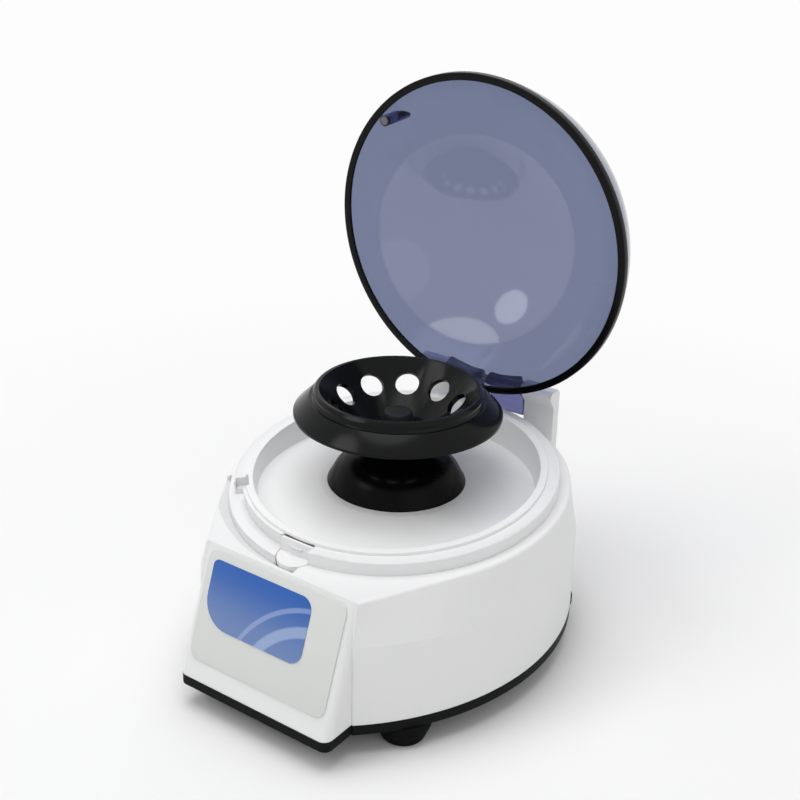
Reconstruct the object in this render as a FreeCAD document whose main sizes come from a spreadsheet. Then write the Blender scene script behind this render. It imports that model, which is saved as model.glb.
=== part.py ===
# Mini centrifuge: a round white housing with a sloped front console, a tilted chamber ring, a
# clear tinted dome lid on a rear hinge, and a ten hole angle rotor on a spindle.
# Millimetres, +Z up. The origin is on the rotor's axis, on the table that the feet stand on.
# The front console faces -Y and the lid's hinge is at the back, +Y. The lid stands open.
import FreeCAD, Part
import math
import os
import Sketcher
from FreeCAD import Placement, Rotation, Vector

doc = FreeCAD.newDocument("mini_centrifuge")
sheet = doc.addObject("Spreadsheet::Sheet", "sizes")

# Driving dimensions, in groups. A value that starts with = follows the sizes it names.
SIZES = [
    # stance and base plate
    ("foot_height", 11.0), ("foot_radius", 12.5), ("foot_tip_radius", 10.0),
    ("foot_side", 51.0), ("foot_front", 62.0), ("plate_thickness", 5.0),
    # plan outline of the housing
    ("side_radius", 121.0), ("side_offset", 40.0), ("back_centre", 20.5), ("front_cut", 88.0),
    ("outline_split", -24.0),
    # front console
    ("console_half", 42.2), ("console_foot", 105.1), ("console_brow", 84.1), ("console_round", 4.0),
    # housing shell
    ("housing_wall", 2.5), ("crease_height", 55.0), ("shoulder_radius", 81.0), ("fit_gap", 0.3),
    # tilted chamber ring
    ("ring_height", 89.9), ("ring_tilt", 5.83), ("ring_outer", 75.7), ("ring_inner", 68.8),
    ("ring_step", 6.5), ("ring_round", 0.8), ("shoulder_round", 1.6),
    # chamber bowl
    ("bowl_wall", 1.5), ("bowl_lip", 1.4), ("bowl_lip_outer", 70.3), ("bowl_floor_radius", 65.0),
    ("bowl_hub_height", 84.0), ("bowl_floor_drop", 3.2), ("bowl_floor_tilt", 2.2),
    ("bowl_floor_edge", "=bowl_hub_height - bowl_floor_drop"),
    ("bowl_hub_radius", 36.0), ("bowl_base", 2.0), ("bowl_eye", 12.0),
    # finger recess and scoop under the lid's edge
    ("recess_wall", 71.4), ("recess_start", -48.0), ("recess_end", 8.0), ("ledge_outer", 78.8),
    ("notch_depth", 4.2), ("scoop_depth", 4.5), ("scoop_reach", 85.0), ("scoop_start", -60.0),
    # latch button
    ("latch_width", 17.4), ("latch_shift", -1.0), ("latch_tip", 81.6), ("latch_foot", 11.8),
    ("latch_gap", 0.25), ("latch_stem", 2.0), ("spring_wire", 0.7),
    # lid
    ("lid_outer", 78.1), ("lid_wall", 2.0), ("lid_lift", 0.1), ("lid_rise", 57.0), ("trim_depth", 3.2),
    ("trim_width", 3.5), ("trim_inner", "=lid_outer - trim_width"),
    ("hinge_out", 77.02), ("hinge_up", 12.15), ("lid_open", 92.73),
    ("pin_radius", 1.6),
    ("knuckle_radius", 3.4), ("knuckle_inner", 2.0), ("knuckle_outer", 21.8), ("lever_length", 15.0),
    ("lever_thick", 2.5), ("ear_inner", 22.4), ("ear_width", 16.6), ("ear_radius", 3.2),
    ("ear_back", 6.0), ("boss_radius", 2.8), ("boss_azimuth", -47.0),
    ("boss_inset", 6.4), ("boss_reach", "=lid_outer - boss_inset"),
    # drive
    ("spindle_radius", 3.0), ("run_gap", 0.05), ("motor_radius", 22.0), ("motor_foot", 24.0),
    ("motor_length", 42.0), ("motor_boss", 8.0), ("motor_boss_height", 4.0), ("cap_height", 5.0),
    ("carrier_radius", 40.0), ("carrier_thick", 2.0), ("post_circle", 33.0), ("post_radius", 4.5),
    ("grommet_height", 5.0), ("grommet_radius", 5.5), ("shroud_radius", 32.6), ("shroud_neck", 20.8),
    ("shroud_height", 16.5), ("shroud_top", "=bowl_hub_height + shroud_height"), ("shroud_slope", 3.5),
    ("shroud_neck_height", "=shroud_top - shroud_slope"), ("shroud_wall", 2.0),
    # rotor
    ("rotor_gap", 2.5), ("rotor_hub_foot", "=shroud_top + rotor_gap"), ("rotor_hub", 8.0),
    ("hub_depth", 7.0), ("rotor_floor", "=rotor_hub_foot + hub_depth"), ("rotor_wall", 2.4),
    ("rotor_depth", 20.8), ("rotor_lip_height", "=rotor_floor + rotor_depth"), ("rotor_lip", 37.4),
    ("skirt_drop", 12.35), ("rotor_rim_height", "=rotor_lip_height - skirt_drop"), ("rotor_rim", 48.0),
    ("tube_circle", 27.2), ("tube_rise", 11.2), ("tube_height", "=rotor_floor + tube_rise"),
    ("tube_hole", 5.7), ("tube_count", 10.0), ("tube_phase", 9.0),
    ("nut_radius", 8.2), ("nut_height", 9.5),
    # electrics
    ("board_width", 60.0), ("board_depth", 38.0), ("board_thick", 1.6), ("board_front", 94.0),
    ("standoff_height", 7.0), ("standoff_radius", 3.0), ("inlet_side", -30.0), ("port_height", 34.0),
    # panel
    ("panel_half", 38.2), ("panel_thick", 0.8), ("panel_low", 9.5), ("panel_high", 60.5),
    ("panel_round", 5.0), ("patch_half", 27.8), ("patch_height", 30.0), ("patch_low", 26.5),
    ("patch_shift", 6.7),
    # fasteners
    ("screw_radius", 1.5), ("screw_head", 3.0), ("boss_side", 73.0), ("boss_front", 28.0),
]
for row, (name, value) in enumerate(SIZES, 1):
    sheet.set("A%d" % row, name)
    sheet.set("B%d" % row, str(value))
    sheet.setAlias("B%d" % row, name)
doc.recompute()

S = {name: float(sheet.get(name)) for name, value in SIZES}
parts = []


def keep(item, label):
    item.Label = label
    parts.append(item)
    return item


def feature(label, shape, placement=None):
    item = doc.addObject("Part::Feature", label)
    item.Shape = shape
    if placement is not None:
        item.Placement = placement.multiply(item.Placement)
    return keep(item, label)


def turned(label, corners, placement=None):
    # A body revolved from a closed profile of (radius, height) expressions on the XZ plane
    body = doc.addObject("PartDesign::Body", label)
    plane = [f for f in body.Origin.OriginFeatures if f.Role == "XZ_Plane"][0]
    sketch = body.newObject("Sketcher::SketchObject", label + "_profile")
    sketch.AttachmentSupport = (plane, [""])
    sketch.MapMode = "FlatFace"
    points = [tuple(float(body.evalExpression(e)) for e in corner) for corner in corners]
    count = len(points)
    for i in range(count):
        start, end = points[i], points[(i + 1) % count]
        sketch.addGeometry(Part.LineSegment(Vector(*start, 0), Vector(*end, 0)))
    for i in range(count):
        sketch.addConstraint(Sketcher.Constraint("Coincident", i, 2, (i + 1) % count, 1))
    for i, corner in enumerate(corners):
        for kind, expression, value in zip(("DistanceX", "DistanceY"), corner, points[i]):
            if kind == "DistanceX" and value == 0:
                sketch.addConstraint(Sketcher.Constraint("PointOnObject", i, 1, -2))
                continue
            index = sketch.addConstraint(Sketcher.Constraint(kind, -1, 1, i, 1, value))
            sketch.setExpression("Constraints[%d]" % index, expression)
    turn = body.newObject("PartDesign::Revolution", label + "_turn")
    turn.Profile = sketch
    turn.ReferenceAxis = (sketch, ["V_Axis"])
    turn.Angle = 360
    sketch.Visibility = False
    doc.recompute()
    if placement is not None:
        body.Placement = placement
    return body


def copies(label, body, places):
    # Several equal pieces in one node, made from one turned body
    doc.recompute()
    solid = body.Shape.Solids[0]
    return feature(label, Part.makeCompound([solid.translated(Vector(*place)) for place in places]))


def box(x0, x1, y0, y1, z0, z1):
    return Part.makeBox(x1 - x0, y1 - y0, z1 - z0, Vector(x0, y0, z0))


def rod(radius, height, x=0, y=0, z=0, axis=(0, 0, 1)):
    return Part.makeCylinder(radius, height, Vector(x, y, z), Vector(*axis))


def polygon(points):
    vectors = [Vector(*p) for p in points]
    return Part.Face(Part.makePolygon(vectors + vectors[:1]))


def revolved(profile):
    # Full turn of a closed (radius, height) polygon about Z
    return polygon([(r, 0, z) for r, z in profile]).revolve(Vector(), Vector(0, 0, 1), 360)


def sector(profile, start, end):
    # The same polygon turned from azimuth start to end, counted from the front towards +X
    face = polygon([(0, -r, z) for r, z in profile])
    face = face.rotated(Vector(), Vector(0, 0, 1), start)
    return face.revolve(Vector(), Vector(0, 0, 1), end - start)


def corners_of(width, depth, x=0, y=0):
    return [(x + sx * width, y + sy * depth, 0) for sx in (-1, 1) for sy in (-1, 1)]


# Frames: the ring's own tilted axis, and the lid turned open about its hinge pin
TILT = Rotation(Vector(1, 0, 0), S["ring_tilt"])
RING = Placement(Vector(0, 0, S["ring_height"]), TILT)
PIVOT = RING.multVec(Vector(0, S["hinge_out"], S["hinge_up"]))
SWING = Placement(PIVOT, Rotation(Vector(1, 0, 0), -S["lid_open"]))
OPEN = SWING.multiply(Placement(-PIVOT, Rotation())).multiply(RING)
PLATE_TOP = S["foot_height"] + S["plate_thickness"]


def shoulder_at(y, drop=0):
    # Height of the tilted shoulder at a distance y from the axis
    slope = math.radians(S["ring_tilt"])
    return S["ring_height"] - (S["ring_step"] + drop) / math.cos(slope) + y * math.tan(slope)


def mirrored_wire(edges):
    # The right half's edges, the back arc that joins both halves, and the left half
    def flip(shape):
        return shape.mirror(Vector(), Vector(1, 0, 0))
    front, sides, back = edges[0], edges[1:-1], edges[-1]
    return Part.Wire(Part.__sortEdges__([front] + sides + [back] + [flip(e) for e in sides]))


def outline(inset, height):
    # Plan outline of the round part: a straight front, two side arcs and a tangent back arc
    radius, offset = S["side_radius"] - inset, S["side_offset"]
    back = S["side_radius"] - math.hypot(offset, S["back_centre"]) - inset
    lean = math.atan2(S["back_centre"], offset)
    front_y = inset - S["front_cut"]
    split = math.radians(S["outline_split"])

    def at(angle):
        return Vector(radius * math.cos(angle) - offset, radius * math.sin(angle), height)
    turn = math.asin(front_y / radius)
    corner, rear = at(turn), Vector(0, S["back_centre"] + back, height)
    return mirrored_wire([
        Part.LineSegment(Vector(-corner.x, front_y, height), corner).toShape(),
        Part.Arc(corner, at((turn + split) / 2), at(split)).toShape(),
        Part.Arc(at(split), at((split + lean) / 2), at(lean)).toShape(),
        Part.Arc(at(lean), rear, Vector(-at(lean).x, at(lean).y, height)).toShape()])


def brow(inset, drop):
    # Corner of the console's top edge, on the shoulder's plane
    lean = (S["console_foot"] - S["console_brow"]) / (shoulder_at(-S["console_brow"]) - PLATE_TOP)
    top = shoulder_at(-S["console_brow"], drop)
    y = inset * math.hypot(1, lean) - S["console_brow"] - lean * (shoulder_at(-S["console_brow"]) - top)
    return Vector(S["console_half"] - inset, y, shoulder_at(y, drop))


def shoulder_wire(inset, drop):
    # The shoulder's circle, drawn out to the console's corners by tangent lines
    radius = S["shoulder_radius"] - inset
    corner = brow(inset, drop)
    flat = RING.inverse().multVec(corner)
    touch = math.atan2(flat.x, -flat.y) + math.acos(radius / math.hypot(flat.x, flat.y))
    lean = math.atan2(S["back_centre"], S["side_offset"])
    back = math.atan2(S["side_radius"] * math.cos(lean) - S["side_offset"],
                      -S["side_radius"] * math.sin(lean))

    def at(azimuth):
        local = Vector(radius * math.sin(azimuth), -radius * math.cos(azimuth), -S["ring_step"] - drop)
        return RING.multVec(local)
    return mirrored_wire([
        Part.LineSegment(Vector(-corner.x, corner.y, corner.z), corner).toShape(),
        Part.LineSegment(corner, at(touch)).toShape(),
        Part.Arc(at(touch), at((touch + back) / 2), at(back)).toShape(),
        Part.Arc(at(back), at(math.pi), at(-back)).toShape()])


def console(inset, floor):
    # Wedge under the panel: its top follows the shoulder, its front leans back
    lean = (S["console_foot"] - S["console_brow"]) / (shoulder_at(-S["console_brow"]) - PLATE_TOP)
    foot_y = -S["console_foot"] + inset * math.hypot(1, lean) + lean * (floor - PLATE_TOP)
    half, brow_y = brow(inset, inset).x, brow(inset, inset).y
    rear = -30
    face = polygon([(-half, foot_y, floor), (-half, brow_y, shoulder_at(brow_y, inset)),
                    (-half, rear, shoulder_at(rear, inset)), (-half, rear, floor)])
    wedge = face.extrude(Vector(2 * half, 0, 0))
    radius = max(S["console_round"] - inset, 0.5)
    fronts = [e for e in wedge.Edges if abs(e.BoundBox.XLength) < 1e-6
              and e.BoundBox.YMax < -S["console_brow"] + 8 and e.BoundBox.ZLength > 20]
    return wedge.makeFillet(radius, fronts)


def hull(inset, floor):
    # Round body: upright up to the crease, then drawn in to the tilted shoulder
    upright = Part.Face(outline(inset, floor)).extrude(Vector(0, 0, S["crease_height"] - floor))
    crown = Part.makeLoft([outline(inset, S["crease_height"]), shoulder_wire(inset, inset)], True, True)
    return upright.fuse(crown).fuse(console(inset, floor)).removeSplitter()


def softened(shape):
    # Round the shoulder's outer edge, which lies on the tilted plane, but not the brow
    level = RING.inverse()

    def on_shoulder(edge):
        first, last = edge.FirstParameter, edge.LastParameter
        stops = [edge.valueAt(first + share * (last - first)) for share in (0, 0.5, 1)]
        flush = all(abs(level.multVec(stop).z + S["ring_step"]) < 0.01 for stop in stops)
        return flush and max(stop.y for stop in stops) > 1 - S["console_brow"]
    return shape.makeFillet(S["shoulder_round"], [e for e in shape.Edges if on_shoulder(e)])


def tilted(shape):
    moved = shape.copy()
    moved.Placement = RING.multiply(moved.Placement)
    return moved


def lathe(path):
    # Revolve a closed (radius, height) path about Z; a pair of points is an arc by way of the first
    def at(point):
        return Vector(point[0], 0, point[1])
    edges, last = [], path[0]
    for step in path[1:] + path[:1]:
        if isinstance(step[0], tuple):
            edges.append(Part.Arc(at(last), at(step[0]), at(step[1])).toShape())
            last = step[1]
        else:
            edges.append(Part.LineSegment(at(last), at(step)).toShape())
            last = step
    return Part.Face(Part.Wire(edges)).revolve(Vector(), Vector(0, 0, 1), 360)


# Rear hinge: two ears moulded on the housing, rounded about the pin
def ears():
    py, pz, r = PIVOT.y, PIVOT.z, S["ear_radius"]
    front, back, low = S["ring_outer"] + 2 * S["fit_gap"], py + S["ear_back"], S["crease_height"] + 10
    bend = r * math.sqrt(0.5)
    arc = Part.Arc(Vector(0, py, pz + r), Vector(0, py - bend, pz + bend), Vector(0, py - r, pz))
    points = [(0, py - r, pz), (0, front, pz - r - 3), (0, front, low), (0, back, low),
              (0, back, pz + r - 2), (0, back - 2, pz + r), (0, py, pz + r)]
    edges = [Part.LineSegment(Vector(*a), Vector(*b)).toShape() for a, b in zip(points, points[1:])]
    ear = Part.Face(Part.Wire([arc.toShape()] + edges)).extrude(Vector(S["ear_width"], 0, 0))
    inner = S["ear_inner"]
    pair = ear.translated(Vector(inner, 0, 0)).fuse(ear.translated(Vector(-inner - S["ear_width"], 0, 0)))
    reach = inner + S["ear_width"] - 4
    return pair.cut(rod(S["pin_radius"] + S["run_gap"], 2 * reach, -reach, py, pz, (1, 0, 0)))


def latch_plan(gap, low, high):
    # Plan of the latch tongue: straight sides from the bowl's lip and a round tip at the front
    half, mid = S["latch_width"] / 2 + gap, S["latch_shift"]
    centre = S["latch_tip"] - S["latch_width"] / 2
    inner = S["bowl_lip_outer"] + S["latch_gap"] - gap
    return box(mid - half, mid + half, -centre, -inner, low, high).fuse(
        rod(half, high - low, mid, -centre, low))


def upper_housing():
    wall, step = S["housing_wall"], S["ring_step"]
    soft = S["ring_round"]
    bend = soft * (1 - math.sqrt(0.5))
    ring = tilted(lathe([(S["ring_inner"], -step - wall), (S["ring_outer"], -step - wall),
                         (S["ring_outer"], -soft),
                         ((S["ring_outer"] - bend, -bend), (S["ring_outer"] - soft, 0)),
                         (S["ring_inner"], 0)]))
    pan = sector([(S["ledge_outer"] - wall, -step - 1),
                  (S["ledge_outer"] - wall, -step - S["scoop_depth"] - wall),
                  (S["ledge_outer"] + 2, -step - S["scoop_depth"] - wall),
                  (S["scoop_reach"] + wall, -step - 1)],
                 S["scoop_start"] - 2, S["recess_end"] - 2)
    form = hull(0, PLATE_TOP)
    shell = softened(form).fuse(ears()).cut(hull(wall, PLATE_TOP - 1)).fuse(tilted(pan).common(form))
    shell = shell.cut(tilted(rod(S["ring_inner"], 60, z=-30))).fuse(ring)
    recess = sector([(S["recess_wall"], -step), (S["recess_wall"] + 0.8, 1),
                     (S["ring_outer"] + 1, 1), (S["ring_outer"] + 1, -step)],
                    S["recess_start"], S["recess_end"] - 4)
    scoop = sector([(S["ledge_outer"], 1 - step), (S["ledge_outer"], -step - S["scoop_depth"]),
                    (S["scoop_reach"], 1 - step)], S["scoop_start"], S["recess_end"] - 4)
    notch = box(-4.5, 4.5, -S["ring_outer"] + 0.8, -S["ring_inner"] + 1, -S["notch_depth"], 1)
    notch = notch.rotated(Vector(), Vector(0, 0, 1), S["boss_azimuth"])
    slot = latch_plan(S["latch_gap"], -S["latch_foot"], 1)
    for tool in (recess, scoop, notch, slot):
        shell = shell.cut(tilted(tool))
    for x, y, _ in corners_of(S["boss_side"], S["boss_front"]):
        boss = rod(4.5, 30, x, y, PLATE_TOP).common(hull(1, PLATE_TOP - 1))
        shell = shell.fuse(boss).cut(rod(S["screw_radius"], 25, x, y, PLATE_TOP - 1))
    rear = S["back_centre"] + S["side_radius"] - math.hypot(S["side_offset"], S["back_centre"])
    shell = shell.cut(box(-8.2, 8.2, rear - 1, rear + 5, S["port_height"] - 11.7, S["port_height"] + 11.7))
    shell = shell.cut(box(-7.2, 7.2, rear - 9, rear + 5, S["port_height"] - 10.7, S["port_height"] + 10.7))
    inlet_hole = rod(5, 40, S["inlet_side"], rear - 35, S["port_height"], (0, 1, 0))
    return shell.cut(inlet_hole)


feature("upper_housing", upper_housing())


# Chamber bowl: dished floor with a raised hub, flared wall and a lip over the ring's inner edge
def disc_wire(radius, height, tilt):
    wire = Part.Wire([Part.Circle(Vector(), Vector(0, 0, 1), radius).toShape()])
    wire.Placement = Placement(Vector(0, 0, height), Rotation(Vector(1, 0, 0), tilt))
    return wire


def bowl_form(skin, drop):
    # Tapered cup from the floor's edge to the ring's plane, with the hub's cone taken out below
    top = RING.multVec(Vector(0, 0, S["bowl_lip"] + 2))
    mouth = S["ring_inner"] - 0.1 - S["bowl_wall"] + skin
    rim = disc_wire(mouth, 0, 0)
    rim.Placement = Placement(top, TILT)
    edge = disc_wire(S["bowl_floor_radius"] + skin, S["bowl_floor_edge"] - drop, S["bowl_floor_tilt"])
    hub = disc_wire(S["bowl_hub_radius"], S["bowl_hub_height"] - drop, 0)
    return Part.makeLoft([edge, rim], True, True), Part.makeLoft([edge, hub], True, True)


def chamber_bowl():
    outer, lower = bowl_form(S["bowl_wall"], S["bowl_base"])
    inner, upper = bowl_form(0, 0)
    lip = revolved([(S["ring_inner"] - 2, 0), (S["bowl_lip_outer"], 0), (S["bowl_lip_outer"], S["bowl_lip"]),
                    (S["ring_inner"] - 2, S["bowl_lip"])])
    cap = tilted(rod(200, 60, z=S["bowl_lip"]))
    notch = box(-4.5, 4.5, -S["bowl_lip_outer"] - 1, -S["ring_inner"] - 0.1, -S["notch_depth"], 3)
    notch = tilted(notch.rotated(Vector(), Vector(0, 0, 1), S["boss_azimuth"]))
    cup = outer.cut(lower).fuse(tilted(lip)).cut(inner.cut(upper)).cut(cap).cut(notch)
    return cup.cut(rod(S["bowl_eye"], 60, z=S["bowl_hub_height"] - 20))


feature("chamber_bowl", chamber_bowl())

# Latch button, its guide and its spring, on the ring's tilted axis
stem_y = -(S["latch_tip"] - S["latch_width"] / 2)
under = -S["ring_step"] - S["housing_wall"]
guide_top = under - 6


def latch_button():
    inner = S["bowl_lip_outer"] + S["latch_gap"]
    ledge, tip = -S["ring_step"], -S["latch_tip"] - 1
    face = polygon([(-20, -inner, under), (-20, tip, under), (-20, tip, ledge),
                    (-20, -inner - 2.4, ledge), (-20, -inner - 1.4, -0.4), (-20, -inner, -0.4)])
    tongue = face.extrude(Vector(40, 0, 0)).common(latch_plan(0, under, 0))
    rib = box(S["latch_shift"] - 3.5, S["latch_shift"] + 3.5, -inner - 2.6, -inner - 1, -3.6, -2.8)
    return tongue.fuse(rib).fuse(rod(S["latch_stem"], 9, S["latch_shift"], stem_y, under - 9))


def latch_guide():
    half = S["latch_width"] / 2 + S["latch_gap"] + 0.8
    mid = S["latch_shift"]
    front, back = stem_y - 1.2, stem_y + 5
    plate = box(mid - half - 2, mid + half + 2, front, back, guide_top - 2, guide_top)
    for x in (mid - half - 2, mid + half):
        plate = plate.fuse(box(x, x + 2, front, back, guide_top - 2, under))
    return plate.cut(rod(S["latch_stem"] + S["run_gap"], 10, mid, stem_y, guide_top - 6))


def latch_spring():
    # A coil of square wire
    wire, turns = S["spring_wire"], 4
    radius = S["latch_stem"] + wire
    length = under - guide_top - wire - 2 * S["run_gap"]
    helix = Part.makeHelix(length / turns, length, radius)
    low, high = radius - wire / 2, radius + wire / 2
    section = Part.makePolygon([Vector(low, 0, -wire / 2), Vector(high, 0, -wire / 2),
                                Vector(high, 0, wire / 2), Vector(low, 0, wire / 2),
                                Vector(low, 0, -wire / 2)])
    coil = Part.Wire(helix.Edges).makePipeShell([section], True, True)
    return coil.translated(Vector(S["latch_shift"], stem_y, guide_top + wire / 2))


feature("latch_button", latch_button(), RING)
feature("latch_guide", latch_guide(), RING)
feature("latch_spring", latch_spring(), RING)

# Lid: clear dome, black edge trim, hinge knuckles with stop levers, and the sensor magnet's boss
edge_height = S["trim_depth"] + S["lid_lift"]
dome_radius = (S["lid_outer"] ** 2 + S["lid_rise"] ** 2) / (2 * S["lid_rise"])
dome_centre = edge_height + S["lid_rise"] - dome_radius


def dome_at(radius, inset=0):
    return dome_centre + math.sqrt((dome_radius - inset) ** 2 - radius ** 2)


def cap_path(inset):
    # Start, middle and top of the dome's arc, inset by the wall
    start = S["lid_outer"] - inset
    return (start, edge_height), (start * 0.6, dome_at(start * 0.6, inset)), (0, dome_at(0, inset))


def knuckle():
    v, w, r = S["hinge_out"], S["hinge_up"], S["knuckle_radius"]
    width = S["knuckle_outer"] - S["knuckle_inner"]
    web = polygon([(0, v - 12, edge_height + 1), (0, v - 1.5, edge_height + 1),
                   (0, v + r * 0.7, w - r * 0.7), (0, v, w + r), (0, v - 12, w + r)])
    web = web.extrude(Vector(width, 0, 0))
    lever = box(0, width, v, v + S["lever_length"], w + 0.75, w + 0.75 + S["lever_thick"])
    return web.fuse(rod(r, width, 0, v, w, (1, 0, 0))).fuse(lever)


def lid_dome():
    outer_start, outer_mid, outer_top = cap_path(0)
    inner_start, inner_mid, inner_top = cap_path(S["lid_wall"])
    dome = lathe([outer_start, (outer_mid, outer_top), inner_top, (inner_mid, inner_start)])
    hollow = lathe([(0, edge_height), inner_start, (inner_mid, inner_top)])
    solid = lathe([(0, S["lid_lift"]), (S["lid_outer"] - 4, S["lid_lift"]),
                   (S["lid_outer"] - 1, edge_height), (outer_mid, outer_top)])
    arm = knuckle()
    for x in (S["knuckle_inner"], -S["knuckle_outer"]):
        dome = dome.fuse(arm.translated(Vector(x, 0, 0)).cut(hollow))
    bore = rod(S["pin_radius"] + S["run_gap"], 80, -40, S["hinge_out"], S["hinge_up"], (1, 0, 0))
    boss = rod(S["boss_radius"], 30, 0, -S["boss_reach"], S["lid_lift"])
    boss = boss.cut(rod(2, 2, 0, -S["boss_reach"], S["lid_lift"]))
    boss = boss.rotated(Vector(), Vector(0, 0, 1), S["boss_azimuth"]).common(solid)
    return dome.cut(bore).fuse(boss)


feature("lid_dome", lid_dome(), OPEN)
trim_wall, trim_low = S["lid_outer"] - S["lid_wall"], S["lid_lift"]
trim = revolved([(S["trim_inner"], trim_low), (S["lid_outer"], trim_low), (S["lid_outer"], edge_height),
                 (trim_wall, edge_height), (trim_wall, trim_low + 1.2), (S["trim_inner"], trim_low + 1.2)])
boss_seat = rod(S["boss_radius"], 4, 0, -S["boss_reach"], trim_low - 1)
trim = trim.cut(boss_seat.rotated(Vector(), Vector(0, 0, 1), S["boss_azimuth"]))
feature("lid_trim", trim, OPEN)
magnet = rod(2, 2, 0, -S["boss_reach"], S["lid_lift"])
feature("lid_magnet", magnet.rotated(Vector(), Vector(0, 0, 1), S["boss_azimuth"]), OPEN)
sensor = box(-4, 4, -S["boss_reach"] - 2.6, -S["boss_reach"] + 2.4, under - 4, under)
feature("lid_sensor", sensor.rotated(Vector(), Vector(0, 0, 1), S["boss_azimuth"]), RING)
pin_reach = S["ear_inner"] + S["ear_width"] - 4.2
feature("hinge_pin", rod(S["pin_radius"], 2 * pin_reach, -pin_reach, PIVOT.y, PIVOT.z, (1, 0, 0)))

# Rotor: thin angle rotor with a conical well, lip, groove and skirt, bored for the tubes
blank = turned("rotor_blank", [
    ("sizes.spindle_radius + sizes.run_gap", "sizes.rotor_hub_foot"),
    ("sizes.rotor_hub", "sizes.rotor_hub_foot"),
    ("sizes.rotor_hub", "sizes.rotor_floor - sizes.rotor_wall - 0.6"),
    ("sizes.rotor_floor - sizes.tube_height + sizes.tube_circle + 0.4",
     "sizes.rotor_floor - sizes.rotor_wall - 0.6"),
    ("sizes.rotor_lip - 0.8", "sizes.rotor_lip_height - 3.6"),
    ("sizes.rotor_rim - 2", "sizes.rotor_rim_height"), ("sizes.rotor_rim", "sizes.rotor_rim_height"),
    ("sizes.rotor_rim", "sizes.rotor_rim_height + 1.2"),
    ("sizes.rotor_lip + 3.4", "sizes.rotor_lip_height - 4.2"),
    ("sizes.rotor_lip + 2.2", "sizes.rotor_lip_height - 4.2"),
    ("sizes.rotor_lip + 1.6", "sizes.rotor_lip_height - 3.2"),
    ("sizes.rotor_lip + 1.6", "sizes.rotor_lip_height - 1.4"),
    ("sizes.rotor_lip + 0.4", "sizes.rotor_lip_height"), ("sizes.rotor_lip - 1.2", "sizes.rotor_lip_height"),
    ("sizes.rotor_lip - 2.2", "sizes.rotor_lip_height - 1.4"),
    ("sizes.rotor_floor - sizes.tube_height + sizes.tube_circle", "sizes.rotor_floor"),
    ("sizes.spindle_radius + sizes.run_gap", "sizes.rotor_floor")])


def tube_holes():
    # Holes square to the well's slope, evenly spaced
    lean = math.sqrt(0.5)
    start = (S["tube_circle"] - 5 * lean, 0, S["tube_height"] + 5 * lean)
    hole = rod(S["tube_hole"], 10, *start, (lean, 0, -lean))
    count = int(S["tube_count"])
    turns = [S["tube_phase"] + 360.0 * i / count for i in range(count)]
    return Part.makeCompound([hole.rotated(Vector(), Vector(0, 0, 1), a) for a in turns])


holes = doc.addObject("Part::Feature", "tube_holes")
holes.Shape = tube_holes()
rotor = doc.addObject("Part::Cut", "rotor")
rotor.Base, rotor.Tool = blank, holes
keep(rotor, "rotor")
keep(turned("rotor_nut", [
    ("sizes.spindle_radius + sizes.run_gap", "sizes.rotor_floor"), ("sizes.nut_radius", "sizes.rotor_floor"),
    ("sizes.nut_radius", "sizes.rotor_floor + 3.5"),
    ("sizes.nut_radius - 1.6", "sizes.rotor_floor + sizes.nut_height - 1"),
    ("sizes.nut_radius - 3", "sizes.rotor_floor + sizes.nut_height"),
    ("0", "sizes.rotor_floor + sizes.nut_height"), ("0", "sizes.rotor_floor + 5"),
    ("sizes.spindle_radius + sizes.run_gap", "sizes.rotor_floor + 5")]), "rotor_nut")
keep(turned("spindle", [
    ("0", "sizes.motor_foot + 26.5"), ("sizes.spindle_radius", "sizes.motor_foot + 26.5"),
    ("sizes.spindle_radius", "sizes.rotor_hub_foot - 1.8"),
    ("sizes.spindle_radius + 2", "sizes.rotor_hub_foot - 1.8"),
    ("sizes.spindle_radius + 2", "sizes.rotor_hub_foot"), ("sizes.spindle_radius", "sizes.rotor_hub_foot"),
    ("sizes.spindle_radius", "sizes.rotor_floor + 5"), ("0", "sizes.rotor_floor + 5")]), "spindle")

# Motor under the bowl, hung from a carrier plate on rubber grommets
motor_blank = turned("motor_blank", [
    ("0", "sizes.motor_foot"), ("sizes.motor_radius", "sizes.motor_foot"),
    ("sizes.motor_radius", "sizes.motor_foot + sizes.motor_length"),
    ("sizes.motor_boss", "sizes.motor_foot + sizes.motor_length"),
    ("sizes.motor_boss", "sizes.motor_foot + sizes.motor_length + sizes.motor_boss_height"),
    ("sizes.spindle_radius + sizes.run_gap",
     "sizes.motor_foot + sizes.motor_length + sizes.motor_boss_height"),
    ("sizes.spindle_radius + sizes.run_gap", "sizes.motor_foot + 26"), ("0", "sizes.motor_foot + 26")])
carrier_height = S["motor_foot"] + S["motor_length"]
motor_holes = [(15, 0, 0), (-15, 0, 0)]
taps = doc.addObject("Part::Feature", "motor_taps")
tap_rods = [rod(S["screw_radius"], 8, x, y, carrier_height - 6) for x, y, _ in motor_holes]
taps.Shape = Part.makeCompound(tap_rods)
motor_can = doc.addObject("Part::Cut", "motor_can")
motor_can.Base, motor_can.Tool = motor_blank, taps
keep(motor_can, "motor_can")
keep(turned("motor_end_cap", [
    ("0", "sizes.motor_foot - sizes.cap_height"),
    ("sizes.motor_radius - 3", "sizes.motor_foot - sizes.cap_height"),
    ("sizes.motor_radius - 1", "sizes.motor_foot - sizes.cap_height + 1.5"),
    ("sizes.motor_radius - 1", "sizes.motor_foot"), ("0", "sizes.motor_foot")]), "motor_end_cap")
post = S["post_circle"] * math.sqrt(0.5)
posts = corners_of(post, post)


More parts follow.
